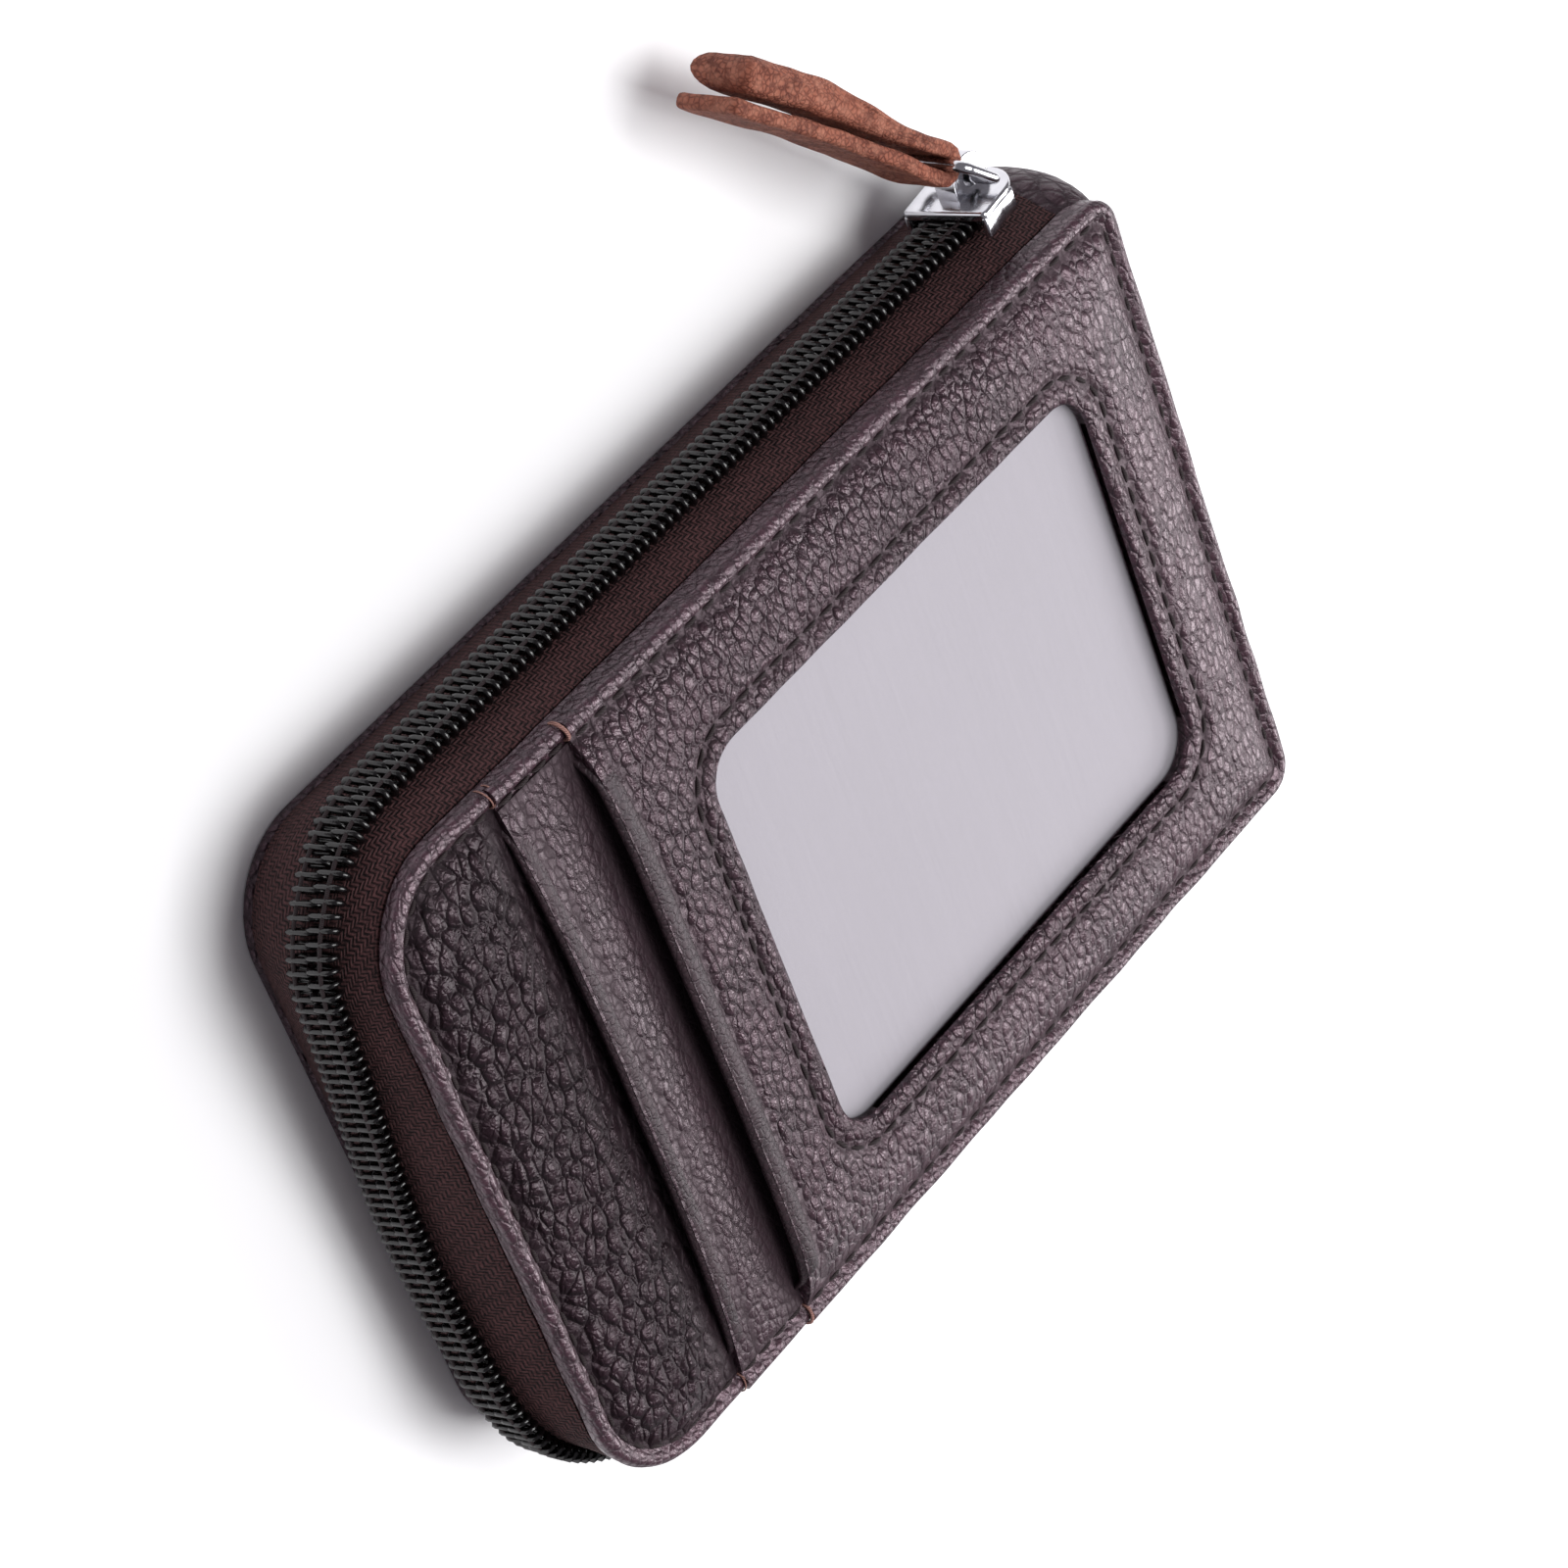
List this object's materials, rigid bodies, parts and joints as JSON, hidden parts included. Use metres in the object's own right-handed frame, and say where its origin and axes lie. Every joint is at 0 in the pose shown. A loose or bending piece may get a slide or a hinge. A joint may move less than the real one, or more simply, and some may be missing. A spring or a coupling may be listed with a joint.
{
  "type": "zip-around card pouch",
  "caption": "Flat leather pouch that unzips round three sides and fans open, with card leaves inside and a window pocket on the front.",
  "frame": {"origin": "centre of the back panel's outer face, on the surface the pouch rests on", "axes": "+X toward the spine, +Y toward the zipped long side that carries the slider at rest, +Z out of the front panel"},
  "size_m": [0.1138, 0.1102, 0.0202],
  "materials": {
    "dark_leather": "satin pebble grain",
    "lining_cloth": "plain weave",
    "stiff_board": "matte",
    "dark_thread": "twisted thread",
    "pale_thread": "twisted thread",
    "zip_tape": "woven tape",
    "zip_coil": "gloss nylon",
    "bright_metal": "polished",
    "tan_leather": "matte, raw cut edges",
    "clear_film": "clear gloss film",
    "blank_sheet": "matte"
  },
  "bodies": {
    "back_cover": {"back_panel_leather": "dark_leather", "back_board": "stiff_board", "back_lining": "lining_cloth", "back_seam_thread": "dark_thread", "spine_leather": "dark_leather", "spine_lining": "lining_cloth", "zip_tape_back": "zip_tape", "zip_coil_back": "zip_coil", "zip_bottom_stop": "bright_metal", "gusset_fold_top": "lining_cloth", "gusset_fold_bottom": "lining_cloth"},
    "front_cover": {"front_lining": "lining_cloth", "front_board": "stiff_board", "base_panel_leather": "dark_leather", "base_rim": "dark_leather", "slot_strip_leather": "dark_leather", "window_panel_leather": "dark_leather", "window_film": "clear_film", "window_insert": "blank_sheet", "window_seam_thread": "dark_thread", "rim_seam_thread": "dark_thread", "strip_seam_thread": "dark_thread", "window_rim_thread": "dark_thread", "slot_tack_top": "pale_thread", "slot_tack_bottom": "pale_thread", "zip_tape_front": "zip_tape", "zip_coil_front": "zip_coil"},
    "slider": {"slider_body": "bright_metal", "slider_bridge": "bright_metal"},
    "loop": {"pull_loop": "bright_metal"},
    "pull": {"leather_pull": "tan_leather"},
    "leaf_1": {"pocket_leaf_1": "lining_cloth"},
    "leaf_2": {"pocket_leaf_2": "lining_cloth"},
    "leaf_3": {"pocket_leaf_3": "lining_cloth"},
    "leaf_4": {"pocket_leaf_4": "lining_cloth"},
    "leaf_5": {"pocket_leaf_5": "lining_cloth"},
    "leaf_6": {"pocket_leaf_6": "lining_cloth"}
  },
  "joints": [
    {"name": "cover_open", "type": "hinge", "parent": "back_cover", "child": "front_cover", "pos_m": [0.0563, 0, 0.0089], "axis": [0, 1, 0], "range_deg": [0, 60], "deforming": ["spine_leather", "spine_lining", "gusset_fold_top", "gusset_fold_bottom", "zip_tape_front", "zip_coil_front"]},
    {"name": "leaf_1_turn", "type": "hinge", "parent": "back_cover", "child": "leaf_1", "pos_m": [0.0563, 0, 0.0089], "axis": [0, 1, 0], "range_deg": [0, 3.33]},
    {"name": "leaf_2_turn", "type": "hinge", "parent": "back_cover", "child": "leaf_2", "pos_m": [0.0563, 0, 0.0089], "axis": [0, 1, 0], "range_deg": [0, 11.9]},
    {"name": "leaf_3_turn", "type": "hinge", "parent": "back_cover", "child": "leaf_3", "pos_m": [0.0563, 0, 0.0089], "axis": [0, 1, 0], "range_deg": [0, 23.62]},
    {"name": "leaf_4_turn", "type": "hinge", "parent": "back_cover", "child": "leaf_4", "pos_m": [0.0563, 0, 0.0089], "axis": [0, 1, 0], "range_deg": [0, 36.39]},
    {"name": "leaf_5_turn", "type": "hinge", "parent": "back_cover", "child": "leaf_5", "pos_m": [0.0563, 0, 0.0089], "axis": [0, 1, 0], "range_deg": [0, 48.11]},
    {"name": "leaf_6_turn", "type": "hinge", "parent": "back_cover", "child": "leaf_6", "pos_m": [0.0563, 0, 0.0089], "axis": [0, 1, 0], "range_deg": [0, 56.68]},
    {"name": "slider_travel", "type": "slide", "parent": "back_cover", "child": "slider", "axis": [-1, 0, 0], "range_m": [0, 0.08]},
    {"name": "loop_swing", "type": "hinge", "parent": "slider", "child": "loop", "pos_m": [0.0454, 0.04115, 0.0102], "axis": [0, 0, 1], "range_deg": [-109, 16]},
    {"name": "pull_swing", "type": "hinge", "parent": "loop", "child": "pull", "pos_m": [0.04151, 0.04504, 0.0102], "axis": [0, 0, 1], "range_deg": [-20, 20]}
  ],
  "couplings": [
    {"joint": "leaf_1_turn", "follows": "cover_open", "ratio": 0.055394},
    {"joint": "leaf_2_turn", "follows": "cover_open", "ratio": 0.19825},
    {"joint": "leaf_3_turn", "follows": "cover_open", "ratio": 0.39359},
    {"joint": "leaf_4_turn", "follows": "cover_open", "ratio": 0.60641},
    {"joint": "leaf_5_turn", "follows": "cover_open", "ratio": 0.80175},
    {"joint": "leaf_6_turn", "follows": "cover_open", "ratio": 0.94461}
  ]
}
